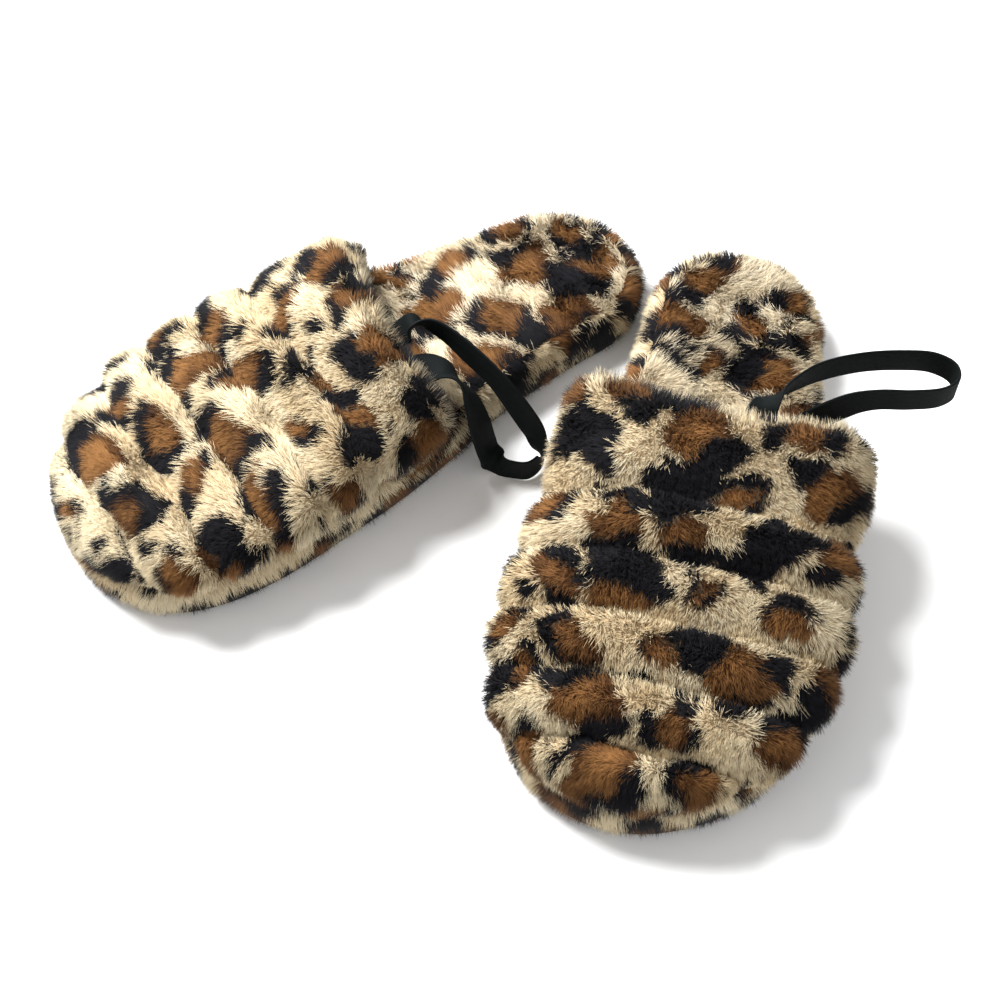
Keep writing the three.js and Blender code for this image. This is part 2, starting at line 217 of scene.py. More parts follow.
def flowing(points, closed, count):
    """count points evenly spaced along a centripetal curve through the given ones."""
    points = np.asarray(points, float)
    if closed:
        rows = np.vstack([points[-1:], points, points[:2]])
    else:
        first, last = 2 * points[0] - points[1], 2 * points[-1] - points[-2]
        rows = np.vstack([first[None], points, last[None]])
    fine = []
    for p0, p1, p2, p3 in zip(rows, rows[1:], rows[2:], rows[3:]):
        knots = np.cumsum([0] + [np.linalg.norm(b - a) ** 0.5 for a, b in ((p0, p1), (p1, p2), (p2, p3))])
        t = np.linspace(knots[1], knots[2], 24, endpoint=False)[:, None]

        def between(a, b, ta, tb):
            return (a * (tb - t) + b * (t - ta)) / (tb - ta)

        spans = ((p0, p1), (p1, p2), (p2, p3))
        a1, a2, a3 = (between(a, b, knots[k], knots[k + 1]) for k, (a, b) in enumerate(spans))
        b1, b2 = between(a1, a2, knots[0], knots[2]), between(a2, a3, knots[1], knots[3])
        fine.append(between(b1, b2, knots[1], knots[2]))
    fine.append(rows[-2][None])
    fine = np.vstack(fine)
    run = run_along(fine)
    stops = np.linspace(0, run[-1], count, endpoint=not closed)
    return np.stack([np.interp(stops, run, fine[:, k]) for k in range(fine.shape[1])], axis=1)


def sole_edge(side, inset, count):
    def placed(row, sign):
        share, across = row
        blend = float(ease(np.array(share), 0.25, 0.75))
        half = HEEL_HALF + (BALL_HALF - HEEL_HALF) * blend
        return side * sign * across * half, HEEL_END - share * SOLE_LENGTH

    stops = [placed((0, -0.12), 1)] + [placed(row, 1) for row in OUTER_EDGE]
    stops += [placed((1, -0.18), 1)] + [placed(row, -1) for row in INNER_EDGE]
    ring = flowing(stops, True, count)
    along = np.roll(ring, -1, axis=0) - np.roll(ring, 1, axis=0)
    along /= np.linalg.norm(along, axis=1)[:, None]
    return ring + side * inset * np.stack([along[:, 1], -along[:, 0]], axis=1)


def width_at(ring, y):
    """The middle and half the width of a closed outline at each y."""
    after = np.roll(ring, -1, axis=0)
    low, high = np.full(y.shape, np.nan), np.full(y.shape, np.nan)
    for a, b in zip(ring, after):
        if a[1] == b[1]:
            continue
        share = (y - a[1]) / (b[1] - a[1])
        hit = np.where((share >= 0) & (share <= 1), a[0] + share * (b[0] - a[0]), np.nan)
        low, high = np.fmin(low, hit), np.fmax(high, hit)
    return np.nan_to_num((low + high) / 2), np.nan_to_num((high - low) / 2)


# ---- making meshes ----
def settle(piece, foot):
    """Puts a piece made in its slipper's own frame, in metres, into its place in the pair."""
    piece.data.transform(piece.matrix_world)
    piece.matrix_world = Matrix.Identity(4)
    piece.data.transform(HOMES[foot])
    return piece


def mesh_piece(name, points, faces, smooth=True):
    """A piece from points in millimetres and faces of three or four corners."""
    mesh = bpy.data.meshes.new(name)
    faces = np.asarray(faces)
    mesh.vertices.add(len(points))
    mesh.vertices.foreach_set("co", (np.asarray(points) * MM).astype(np.float32).ravel())
    mesh.loops.add(faces.size)
    mesh.loops.foreach_set("vertex_index", faces.ravel().astype(np.int32))
    mesh.polygons.add(len(faces))
    starts = np.arange(0, faces.size, faces.shape[1], dtype=np.int32)
    mesh.polygons.foreach_set("loop_start", starts)
    mesh.polygons.foreach_set("use_smooth", np.full(len(faces), smooth))
    mesh.update(calc_edges=True)
    piece = bpy.data.objects.new(name, mesh)
    bpy.context.scene.collection.objects.link(piece)
    return piece


def ring_faces(rows, size, wrap=False):
    """Quads between closed rings of one size, as a tube, or as a torus when wrap is true."""
    count = rows if wrap else rows - 1
    r, i = np.meshgrid(np.arange(count), np.arange(size), indexing="ij")
    a = r * size + i
    b = r * size + (i + 1) % size
    c = ((r + 1) % rows) * size + (i + 1) % size
    d = ((r + 1) % rows) * size + i
    return np.stack([a, b, c, d], axis=-1).reshape(-1, 4)


def end_faces(rows, size):
    """Quads that close a tube's first and last rings, each one side and then the other reversed."""
    ends = []
    for row in (0, rows - 1):
        base = row * size
        for i in range(size // 2 - 1):
            quad = [base + i, base + size - 1 - i, base + size - 2 - i, base + i + 1]
            ends.append(quad if row == 0 else quad[::-1])
    return ends


def shade_by_angle(piece, degrees=40):
    only_selected(piece)
    bpy.ops.object.shade_smooth_by_angle(angle=math.radians(degrees))


def face_out(piece):
    """Turns the faces outwards on a closed piece."""
    mesh = piece.data
    mesh.calc_loop_triangles()
    corners = np.zeros(len(mesh.loop_triangles) * 3, np.int32)
    mesh.loop_triangles.foreach_get("vertices", corners)
    co = np.zeros(len(mesh.vertices) * 3)
    mesh.vertices.foreach_get("co", co)
    tri = co.reshape(-1, 3)[corners.reshape(-1, 3)]
    volume = np.einsum("ij,ij->i", tri[:, 0], np.cross(tri[:, 1], tri[:, 2])).sum()
    if volume < 0:
        mesh.flip_normals()
    return piece


def put_colours(piece, values):
    layer = piece.data.attributes.new("print", "FLOAT_COLOR", "POINT")
    layer.data.foreach_set("color", np.asarray(values, np.float32).ravel())


# ---- materials ----
def new_material(name, roughness, sheen=0.0, specular=0.3):
    material = bpy.data.materials.new(name)
    material.use_nodes = True
    nodes = material.node_tree.nodes
    shader = nodes["Principled BSDF"]
    shader.inputs["Roughness"].default_value = roughness
    shader.inputs["Specular IOR Level"].default_value = specular
    if sheen:
        shader.inputs["Sheen Weight"].default_value = sheen
        shader.inputs["Sheen Roughness"].default_value = 0.6
    return material, nodes, material.node_tree.links, shader


def mix_node(nodes, links, kind, factor, a, b):
    node = nodes.new("ShaderNodeMix")
    node.data_type = "RGBA"
    node.blend_type = kind
    for socket, value in ((node.inputs[0], factor), (node.inputs[6], a), (node.inputs[7], b)):
        if hasattr(value, "is_linked"):
            links.new(value, socket)
        else:
            socket.default_value = value
    return node.outputs[2]


def math_node(nodes, links, kind, a, b):
    node = nodes.new("ShaderNodeMath")
    node.operation = kind
    for socket, value in zip(node.inputs, (a, b)):
        if hasattr(value, "is_linked"):
            links.new(value, socket)
        else:
            socket.default_value = value
    return node.outputs[0]


def noise_node(nodes, links, where, scale, detail):
    noise = nodes.new("ShaderNodeTexNoise")
    noise.inputs["Scale"].default_value = scale
    noise.inputs["Detail"].default_value = detail
    links.new(where.outputs["Object"], noise.inputs["Vector"])
    return noise


def raise_surface(nodes, links, shader, height, strength, distance):
    """Fine relief on a surface, distance in metres."""
    bump = nodes.new("ShaderNodeBump")
    bump.inputs["Strength"].default_value = strength
    bump.inputs["Distance"].default_value = distance
    links.new(height, bump.inputs["Height"])
    links.new(bump.outputs["Normal"], shader.inputs["Normal"])


def plush_material(name, cream_deep, cream_light, root_painted_shade):
    """Printed pile: cream, brown and blue-black by the print, with painted shade that darkens it towards the
    roots.
    """
    material, nodes, links, shader = new_material(name, 0.8, sheen=0.07, specular=0.12)
    reading = nodes.new("ShaderNodeAttribute")
    reading.attribute_name = "print"
    split = nodes.new("ShaderNodeSeparateColor")
    links.new(reading.outputs["Color"], split.inputs[0])
    brown, black, chance = split.outputs
    tip = reading.outputs["Alpha"]
    cream = mix_node(nodes, links, "MIX", chance, cream_deep, cream_light)
    tan = mix_node(nodes, links, "MIX", chance, (0.05, 0.017, 0.004, 1), (0.36, 0.172, 0.055, 1))
    dark = mix_node(nodes, links, "MIX", chance, (0.0015, 0.0015, 0.003, 1), (0.009, 0.009, 0.014, 1))
    dyed = mix_node(nodes, links, "MIX", brown, cream, tan)
    dyed = mix_node(nodes, links, "MIX", black, dyed, dark)
    # Painted shade: near the root the dyed colour is multiplied by the shade colour, easing back to the dyed
    # colour at the tip.
    shade = math_node(nodes, links, "POWER", tip, 0.7)
    deep = mix_node(nodes, links, "MULTIPLY", 1.0, dyed, root_painted_shade)
    colour = mix_node(nodes, links, "MIX", shade, deep, dyed)
    links.new(colour, shader.inputs["Base Color"])
    return material


# The last colour given to each plush is the painted shade at its roots. The footbed's plush has slightly
# different creams and a lighter painted root shade.
plush = plush_material("printed_plush", (0.66, 0.49, 0.26, 1), (0.97, 0.88, 0.64, 1), (0.27, 0.19, 0.13, 1))
footbed_plush = plush_material(
    "footbed_printed_plush", (0.66, 0.52, 0.30, 1), (0.97, 0.88, 0.68, 1), (0.33, 0.25, 0.18, 1)
)


def rubber_material():
    material, nodes, links, shader = new_material("textured_rubber", 0.62, specular=0.4)
    where = nodes.new("ShaderNodeTexCoord")
    grain = noise_node(nodes, links, where, 900, 4)
    scuffs = noise_node(nodes, links, where, 60, 8)
    worn, fresh = (0.03, 0.03, 0.034, 1), (0.008, 0.008, 0.01, 1)
    colour = mix_node(nodes, links, "MIX", scuffs.outputs["Fac"], fresh, worn)
    links.new(colour, shader.inputs["Base Color"])
    rough = nodes.new("ShaderNodeMapRange")
    rough.inputs["To Min"].default_value = 0.45
    rough.inputs["To Max"].default_value = 0.8
    links.new(scuffs.outputs["Fac"], rough.inputs["Value"])
    links.new(rough.outputs["Result"], shader.inputs["Roughness"])
    raise_surface(nodes, links, shader, grain.outputs["Fac"], 0.35, 0.0004)
    return material


def cell_material(name, dark, light, scale):
    """Foam and wadding: pale, with open cells or tangled fibres, and painted shade in the hollows of the
    cells.
    """
    material, nodes, links, shader = new_material(name, 0.9, sheen=0.1)
    where = nodes.new("ShaderNodeTexCoord")
    cells = nodes.new("ShaderNodeTexVoronoi")
    cells.inputs["Scale"].default_value = scale
    links.new(where.outputs["Object"], cells.inputs["Vector"])
    # Painted shade: darker at the cells' middles, where the bump sinks the surface.
    colour = mix_node(nodes, links, "MIX", cells.outputs["Distance"], dark, light)
    links.new(colour, shader.inputs["Base Color"])
    raise_surface(nodes, links, shader, cells.outputs["Distance"], 0.6, 0.0006)
    return material


def elastic_material():
    """Woven elastic: fine lengthwise ribs crossed by picks of thread, on its own UV map in millimetres, with
    painted shade in the gaps between the threads.
    """
    material, nodes, links, shader = new_material("woven_elastic", 0.7, sheen=0.0, specular=0.12)
    where = nodes.new("ShaderNodeUVMap")
    where.uv_map = "weave"
    ribs = nodes.new("ShaderNodeTexWave")
    ribs.bands_direction = "Y"
    ribs.inputs["Scale"].default_value = 0.42
    ribs.inputs["Distortion"].default_value = 0.4
    picks = nodes.new("ShaderNodeTexWave")
    picks.bands_direction = "X"
    picks.inputs["Scale"].default_value = 0.6
    picks.inputs["Distortion"].default_value = 0.8
    fuzz = nodes.new("ShaderNodeTexNoise")
    fuzz.inputs["Scale"].default_value = 1.4
    fuzz.inputs["Detail"].default_value = 6
    for node in (ribs, picks, fuzz):
        links.new(where.outputs["UV"], node.inputs["Vector"])
    weave = math_node(nodes, links, "MULTIPLY", ribs.outputs["Fac"], picks.outputs["Fac"])
    # Painted shade: darker where the weave is low, which is where the bump sinks it.
    threads_and_gap_shade = mix_node(nodes, links, "MIX", weave, (0.0008, 0.0016, 0.0017, 1), (0.0035, 0.007, 0.0074, 1))
    colour = mix_node(nodes, links, "MIX", fuzz.outputs["Fac"], threads_and_gap_shade, (0.003, 0.005, 0.005, 1))
    links.new(colour, shader.inputs["Base Color"])
    raise_surface(nodes, links, shader, weave, 0.7, 0.0002)
    return material


def fleece_material():
    material, nodes, links, shader = new_material("pocket_fleece", 0.9, sheen=0.4)
    where = nodes.new("ShaderNodeTexCoord")
    nap = noise_node(nodes, links, where, 420, 6)
    # Painted shade: the nap is darker where the bump sinks it.
    colour = mix_node(nodes, links, "MIX", nap.outputs["Fac"], (0.30, 0.21, 0.12, 1), (0.62, 0.48, 0.30, 1))
    links.new(colour, shader.inputs["Base Color"])
    raise_surface(nodes, links, shader, nap.outputs["Fac"], 0.8, 0.0008)
    return material


rubber = rubber_material()
foam = cell_material("open_foam", (0.55, 0.52, 0.46, 1), (0.86, 0.84, 0.78, 1), 700)
wadding = cell_material("fibre_wadding", (0.6, 0.58, 0.54, 1), (0.9, 0.88, 0.84, 1), 420)
elastic = elastic_material()
fleece = fleece_material()


# ---- the pile ----
PILE_SIDES = 3
FLOOR_GAP = 0.3
ROOT_DEPTH = 0.3
PILE_COUNT = 43000
SPIKE_FACES = np.array([[2, 1, 0], [0, 1, 3], [1, 2, 3], [2, 0, 3]])
BAND_PILE = {"length": 5.2, "lean": 0.95, "swirl": 0.7, "radius": 0.19, "clump": 2.8}
FOOTBED_PILE = {"length": 6.8, "lean": 1.1, "swirl": 1.5, "radius": 0.2, "clump": 3.8}
UPPER_PILE = {"length": 5.6, "lean": 0.88, "swirl": 0.8, "radius": 0.19, "clump": 2.8}


def unit(vectors):
    return vectors / (np.linalg.norm(vectors, axis=1)[:, None] + 1e-9)


def pick_roots(rng, skin, quads):
    """Random points on a skin: their corners, weights there, outward directions and edges."""
    tris = np.concatenate([quads[:, [0, 1, 2]], quads[:, [0, 2, 3]]])
    p0, p1, p2 = (skin[tris[:, k]] for k in range(3))
    normal = np.cross(p1 - p0, p2 - p0)
    area = np.linalg.norm(normal, axis=1) / 2
    picked = rng.choice(len(tris), PILE_COUNT, p=area / area.sum())
    a, b = rng.random(PILE_COUNT), rng.random(PILE_COUNT)
    over = a + b > 1
    a[over], b[over] = 1 - a[over], 1 - b[over]
    weights = np.stack([1 - a - b, a, b], axis=1)[:, :, None]
    corner = tris[picked]
    vertex_normals = np.zeros_like(skin)
    for k in range(3):
        np.add.at(vertex_normals, tris[:, k], normal)
    out = unit((vertex_normals[corner] * weights).sum(1))
    return corner, weights, out, (p1 - p0)[picked], (p2 - p0)[picked]


def cloth_directions(corner, cloth, e1, e2):
    """The cloth's own two directions on the surface."""
    d1 = cloth[corner[:, 1]] - cloth[corner[:, 0]]
    d2 = cloth[corner[:, 2]] - cloth[corner[:, 0]]
    det = d1[:, 0] * d2[:, 1] - d1[:, 1] * d2[:, 0]
    det = np.where(np.abs(det) < 1e-6, 1e-6, det)[:, None]
    along_u = (e1 * d2[:, 1:] - e2 * d1[:, 1:]) / det
    along_v = (e2 * d1[:, :1] - e1 * d2[:, :1]) / det
    return unit(along_u), unit(along_v)


def tuft_pull(u, v, tuft, seed):
    """How far each fibre is drawn towards its tuft's middle, and how long that tuft is."""
    best = np.full(len(u), 1e9)
    pull = np.zeros((len(u), 2))
    rise = np.zeros(len(u))
    cu, cv = np.floor(u / tuft).astype(np.int64), np.floor(v / tuft).astype(np.int64)
    for di in (-1, 0, 1):
        for dj in (-1, 0, 1):
            mu = (cu + di + scatter(cu + di, cv + dj, seed + 3)) * tuft
            mv = (cv + dj + scatter(cu + di, cv + dj, seed + 4)) * tuft
            gap = np.hypot(mu - u, mv - v)
            nearer = gap < best
            best = np.where(nearer, gap, best)
            pull[nearer] = np.stack([mu - u, mv - v], axis=1)[nearer]
            rise = np.where(nearer, scatter(cu + di, cv + dj, seed + 5), rise)
    reach = np.hypot(pull[:, 0], pull[:, 1])[:, None]
    return pull * np.minimum(1, 1.2 * tuft / (reach + 1e-9)), rise


def spikes(rng, root, tip, comb, out, radius):
    """Points and shading directions of a three-sided spike for each fibre."""
    count = len(root)
    radius = radius * (0.8 + 0.4 * rng.random(count))[:, None]
    points = np.zeros((count, PILE_SIDES + 1, 3))
    normals = np.zeros_like(points)
    bearing = rng.random(count) * 2 * math.pi
    axis = unit(tip - root)
    first = unit(np.cross(axis, comb + 0.013))
    second = np.cross(axis, first)
    for k in range(PILE_SIDES):
        angle = (bearing + 2 * math.pi * k / PILE_SIDES)[:, None]
        spoke = first * np.cos(angle) + second * np.sin(angle)
        points[:, k] = root - out * ROOT_DEPTH + spoke * radius
        normals[:, k] = spoke
    points[:, -1] = tip
    points[..., 2] = np.maximum(points[..., 2], FLOOR_GAP)
    normals[:, -1] = axis
    normals = 0.4 * normals + 0.75 * out[:, None, :]
    normals /= np.linalg.norm(normals, axis=2)[:, :, None]
    return points, normals


def dye_pile(rng, piece, u, v, print_seed, seed):
    """Gives each fibre its colour from the print, with soft edges, and 0 to 1 from root to tip, by which the
    material paints shade darkest at the roots.
    """
    count = len(u)
    feather = rng.normal(0, 0.85, (count, 2))
    brown, black, heart = leopard(u + feather[:, 0], v + feather[:, 1], print_seed)
    base = np.where(brown > 0, 0.12 + 0.85 * heart, 0.55)
    chance = base + 0.28 * drift(u, v, 13, seed + 7) + 0.17 * rng.normal(0, 1, count)
    colours = np.zeros((count, PILE_SIDES + 1, 4))
    colours[..., 0] = brown[:, None]
    colours[..., 1] = black[:, None]
    colours[..., 2] = np.clip(chance, 0, 1)[:, None]
    # Alpha: 0 at the root and 1 at the tip. The material paints shade by it.
    colours[:, -1, 3] = 1.0
    put_colours(piece, colours)


def unwrap_pile(piece, uv):
    """Lays each spike out beside its root's place in the cloth."""
    low, high = uv.min(0), uv.max(0)
    scale = 0.96 / max(high - low)
    spot = (uv - low) * scale + 0.02
    step = np.array([[0, 0], [1, 0], [0, 1], [0.4, 2]]) * 0.22 * scale
    bake = piece.data.uv_layers.new(name="OFBake")
    places = (spot[:, None, :] + step[None])[:, SPIKE_FACES]
    bake.data.foreach_set("uv", places.astype(np.float32).ravel())


def grow_pile(name, skin, faces, cloth, settings, material, foot, seed, print_seed, nap=0.0, trim=None):
    """Tapering fibres over the faces of a skin, as closed spikes in one mesh.

    skin holds points in millimetres, and cloth each point's place in the cloth, in
    millimetres. trim holds a share of the full length for each point.
    """
    rng = np.random.default_rng(seed)
    corner, weights, out, e1, e2 = pick_roots(rng, skin, faces)
    root = (skin[corner] * weights).sum(1)
    uv = (cloth[corner] * weights).sum(1)
    u, v = uv[:, 0], uv[:, 1]
    along_u, along_v = cloth_directions(corner, cloth, e1, e2)

    swirl = settings["swirl"] * (drift(u, v, 17, seed + 1) + 0.6 * drift(u, v, 6, seed + 2))
    swirl = swirl + rng.normal(0, 0.22, PILE_COUNT) + nap
    comb = along_u * np.sin(swirl)[:, None] - along_v * np.cos(swirl)[:, None]
    comb = unit(comb - out * (comb * out).sum(1)[:, None])
    pull, rise = tuft_pull(u, v, settings["clump"], seed)
    gather = along_u * pull[:, :1] + along_v * pull[:, 1:]

    length = settings["length"] * (0.78 + 0.2 * rise + 0.24 * rng.random(PILE_COUNT))
    if trim is not None:
        length *= (trim[corner] * weights[:, :, 0]).sum(1)
    unevenness = 0.35 * drift(u, v, 11, seed + 6) + 0.18 * rng.normal(0, 1, PILE_COUNT)
    lean = np.clip(settings["lean"] * (0.8 + unevenness), 0.1, 1.35)
    stand, lie = np.cos(lean)[:, None], np.sin(lean)[:, None]
    long = length[:, None]
    wild = rng.normal(0, 0.08, (PILE_COUNT, 3)) * long
    tip = root + long * (out * (0.18 + 0.72 * stand) + comb * lie * 0.85) + gather * 0.42 + wild

    points, normals = spikes(rng, root, tip, comb, out, settings["radius"])
    firsts = np.arange(PILE_COUNT)[:, None, None] * (PILE_SIDES + 1)
    piece = mesh_piece(name, points.reshape(-1, 3), (firsts + SPIKE_FACES[None]).reshape(-1, 3))
    dye_pile(rng, piece, u, v, print_seed, seed)
    unwrap_pile(piece, uv)
    piece.data.materials.append(material)
    settle(piece, foot)
    turned = normals.reshape(-1, 3) @ np.array(HOMES[foot].to_3x3()).T
    piece.data.normals_split_custom_set_from_vertices(turned.astype(np.float32))
    return piece


def coat_skin(piece, cloth, seed):
    """The backing under the pile carries the same print, darkened by the painted shade that the fibres have
    near their roots.
    """
    brown, black, _ = leopard(cloth[:, 0], cloth[:, 1], seed)
    chance = 0.5 + 0.4 * drift(cloth[:, 0], cloth[:, 1], 13, seed + 7)
    # The alpha of 0.25 puts most of the painted root shade on the backing.
    put_colours(piece, np.stack([brown, black, chance, np.full(len(brown), 0.25)], axis=1))


# ---- soles ----
SLAB_CORNERS = 120
OUTSOLE_INSET = 1.2
OUTSOLE_TOP = 3.4
OUTSOLE_RIM = 0.7
FOAM_INSET = 6.4
FOAM_RIM = 0.9
FOAM_LAYERS = (("midsole", 3.5, 12.9), ("insole_pad", 13.1, 17.4))


def only_selected(piece):
    if bpy.context.mode != "OBJECT":
        bpy.ops.object.mode_set(mode="OBJECT")
    bpy.ops.object.select_all(action="DESELECT")
    piece.select_set(True)
    bpy.context.view_layer.objects.active = piece


def pick_faces(piece, wanted):
    """Selects the faces for which wanted(face) is true, in edit mode."""
    bpy.ops.object.mode_set(mode="OBJECT")
    for vertex in piece.data.vertices:
        vertex.select = False
    for edge in piece.data.edges:
        edge.select = False
    for face in piece.data.polygons:
        face.select = wanted(face)
    bpy.ops.object.mode_set(mode="EDIT")


def sole_slab(name, foot, inset, low, high, rim, rows):
    """A slab cut to the sole's outline, with rounded rims and cross rows where it bends."""
    side = FEET[foot]
    bpy.ops.object.select_all(action="DESELECT")
    bpy.ops.mesh.primitive_circle_add(
        vertices=SLAB_CORNERS, radius=BALL_HALF * MM, fill_type="NGON", location=(0, 0, low * MM)
    )
    piece = bpy.context.object
    piece.name = piece.data.name = name
    ring = sole_edge(side, inset, SLAB_CORNERS)
    for vertex, (x, y) in zip(piece.data.vertices, ring):
        vertex.co = (x * MM, y * MM, 0)
    bpy.ops.object.transform_apply(location=True, rotation=False, scale=False)
    bpy.ops.object.mode_set(mode="EDIT")
    bpy.ops.mesh.select_mode(type="FACE")
    bpy.ops.mesh.select_all(action="SELECT")
    bpy.ops.mesh.extrude_region_move(TRANSFORM_OT_translate={"value": (0, 0, (high - low) * MM)})
    bpy.ops.mesh.select_all(action="SELECT")
    bpy.ops.mesh.normals_make_consistent(inside=False)
    pick_faces(piece, lambda face: abs(face.normal.z) > 0.9)
    bpy.ops.mesh.inset(thickness=rim * 1.5 * MM, depth=0)
    pick_faces(piece, lambda face: abs(face.normal.z) < 0.1)
    bpy.ops.mesh.bevel(offset=rim * MM, segments=3, affect="EDGES")
    for y in rows:
        bpy.ops.mesh.select_all(action="SELECT")
        bpy.ops.mesh.bisect(plane_co=(0, y * MM, 0), plane_no=(0, 1, 0))
    bpy.ops.mesh.select_all(action="DESELECT")
    bpy.ops.object.mode_set(mode="OBJECT")
    return piece


BEND_ROWS = np.arange(FLEX_Y - 21, FLEX_Y + 22, 3.0)
TREAD_PITCH = 8.0
GROOVE_MARGIN = 1.0
GROOVE_DEPTH = 0.9
SMALLEST_GROOVE = 30.0  # square millimetres


def make_outsole(foot):
    rows = sorted(set(np.arange(TOE_END + 16, HEEL_END - 12, TREAD_PITCH / 2).tolist()))
    piece = sole_slab(f"{foot}_outsole", foot, OUTSOLE_INSET, 0.0, OUTSOLE_TOP, OUTSOLE_RIM, rows)
    only_selected(piece)
    bpy.ops.object.mode_set(mode="EDIT")

    def groove(face):
        strip = (face.center.y / MM - rows[0]) / (TREAD_PITCH / 2)
        wide = face.area > SMALLEST_GROOVE * MM * MM
        return face.normal.z < -0.9 and 0 < strip < len(rows) - 1 and int(strip) % 2 == 0 and wide

    pick_faces(piece, groove)
    bpy.ops.mesh.inset(thickness=GROOVE_MARGIN * MM, depth=-GROOVE_DEPTH * MM, use_individual=True)
    bpy.ops.object.mode_set(mode="OBJECT")
    shade_by_angle(piece, 35)
    piece.data.materials.append(rubber)
    return settle(piece, foot)


def bend_with_sole(piece):
    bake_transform(piece)


for foot in FEET:
    outsole = make_outsole(foot)
    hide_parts(f"{foot}_outsole_front", f"{foot}_outsole_heel")
    bend_with_sole(outsole)
    for layer, low, high in FOAM_LAYERS:
        slab = sole_slab(f"{foot}_{layer}", foot, FOAM_INSET, low, high, FOAM_RIM, BEND_ROWS.tolist())
        shade_by_angle(slab, 35)
        slab.data.materials.append(foam)
        settle(slab, foot)
        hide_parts(f"{foot}_{layer}_front", f"{foot}_{layer}_heel")
        bend_with_sole(slab)


# ---- the plush wall round the sole ----
BAND_STOPS = 260
BAND_CLOTH = 400.0  # the band is cut from another part of the cloth
# The section of the wall: inset from the edge of the sole, and height.
BAND_SECTION = [
    (6.6, 3.6), (4.6, 3.3), (3.4, 3.6), (2.4, 4.9), (1.8, 7.5), (1.5, 11.0), (1.6, 14.2),
    (2.1, 16.8), (3.1, 18.6), (4.6, 19.6), (6.2, 19.8), (7.4, 18.5), (7.4, 12.0), (7.4, 5.0),
]


def make_band(foot):
    side = FEET[foot]
    rows = []
    section = np.array(BAND_SECTION)
    run = run_along(section)
    edge = sole_edge(side, 0, BAND_STOPS)
    around = run_along(edge)
    for inset, z in BAND_SECTION:
        ring = sole_edge(side, inset, BAND_STOPS)
        wobble = 0.5 * drift(around, np.full(BAND_STOPS, z), 21, 5) * (inset < 4)
        away = ring - edge.mean(0)
        away /= np.linalg.norm(away, axis=1)[:, None]
        ring = ring + away * wobble[:, None]
        rows.append(np.column_stack([ring, np.full(BAND_STOPS, z)]))
    points = np.stack(rows, axis=1).reshape(-1, 3)
    cloth = np.column_stack([np.repeat(around, len(section)), np.tile(run, BAND_STOPS) + BAND_CLOTH])
    faces = ring_faces(BAND_STOPS, len(section), wrap=True)
    return points, faces, cloth


def furred_band_faces(faces):
    """The faces on the outer side and the rounded top of the wall."""
    place = faces % len(BAND_SECTION)
    low, high = place.min(1), place.max(1)
    return (low >= 1) & (high <= 10)


# ---- the footbed ----
FOOTBED_ACROSS = 44
FOOTBED_ALONG = 110
FOOTBED_INSET = 5.0
FOOTBED_UNDER = 17.8
FOOTBED_EDGE = 19.6
FOOTBED_CROWN = 2.6
TREAD_DEPTH = 1.1
HEEL_SEAT = 82.0
UNDER_UPPER = 22.0  # how far the pile goes in under the upper


def make_footbed(foot):
    side = FEET[foot]
    ring = sole_edge(side, FOOTBED_INSET, 400)
    share = (1 - np.cos(np.linspace(0.0, math.pi, FOOTBED_ALONG))) / 2
    y = ring[:, 1].min() + 0.4 + share * (np.ptp(ring[:, 1]) - 0.8)
    middle, half = width_at(ring, y)
    across = np.sin(np.linspace(-math.pi / 2, math.pi / 2, FOOTBED_ACROSS))
    x = middle[:, None] + half[:, None] * across[None]
    yy = np.repeat(y[:, None], FOOTBED_ACROSS, axis=1)
    edge_share = np.clip(np.minimum(1 - np.abs(across)[None] * np.ones_like(yy), 1), 0, 1)
    end_share = np.clip(np.minimum(y - y[0], y[-1] - y) / 40, 0, 1)[:, None]
    crown = (1 - (1 - np.minimum(edge_share * 2.2, 1)) ** 2.4) * (1 - (1 - end_share) ** 3)
    dimple = 0.7 * drift(x, yy, 26, 71 + side) + 0.5 * drift(x, yy, 11, 73 + side)
    top = FOOTBED_EDGE + FOOTBED_CROWN * crown + dimple * crown
    tread = TREAD_DEPTH * np.exp(-(((x - middle[:, None]) / 26) ** 2 + ((yy - HEEL_SEAT) / 30) ** 2))
    top = top - tread
    under = np.full_like(top, FOOTBED_UNDER)
    upper_side, lower_side = np.stack([x, yy, top], axis=2), np.stack([x, yy, under], axis=2)
    rings = np.concatenate([upper_side, lower_side[:, ::-1]], axis=1)
    size = 2 * FOOTBED_ACROSS
    faces = np.vstack([ring_faces(FOOTBED_ALONG, size), end_faces(FOOTBED_ALONG, size)])
    points = rings.reshape(-1, 3)
    cloth = points[:, :2].copy()
    return points, faces, cloth


# ---- the quilted upper ----
UPPER_ACROSS = 72
UPPER_ALONG = 112
HEM_ROWS = 9
HEM_REACH = 2.4
HEM_ROLL_OUT = 4.0
HEM_ROLL_IN = 3.8
UPPER_RUN = 140.0  # along the crown, roughly
TOE_ROUNDING = 20.0
ARCH_FULLNESS = 0.85
BULGE_FRONT = 0.42
BULGE_BACK = 0.85
BULGE_FADE = 40.0
BACK_PUFF = 24.0
TOE_PUFF = 10.0
PUFF_FULLNESS = 0.55
PUFF_SPREAD = 0.6
SKIN_INSIDE = 5.0
LIP_INSIDE = 10.6
TUCKED_CLOTH = 15.0  # how much cloth the hem takes up before the print starts again
CREASE_HOLD = 1.6
SWELL_PRESSURE = 2.5
SWELL_CAP = 5.0
SWELL_SHRINK = -0.06
INNER_LAYERS = (
    ("padding", 5.6, 9.4, -2.0, wadding, "wadding"), ("lining", 9.8, 11.1, -1.5, fleece, "lining"),
)


def mouth_edge(foot, x):
    middle, scoop, lean = MOUTH[foot]
    across = x / BALL_HALF
    return middle + scoop * across ** 2 + lean * across


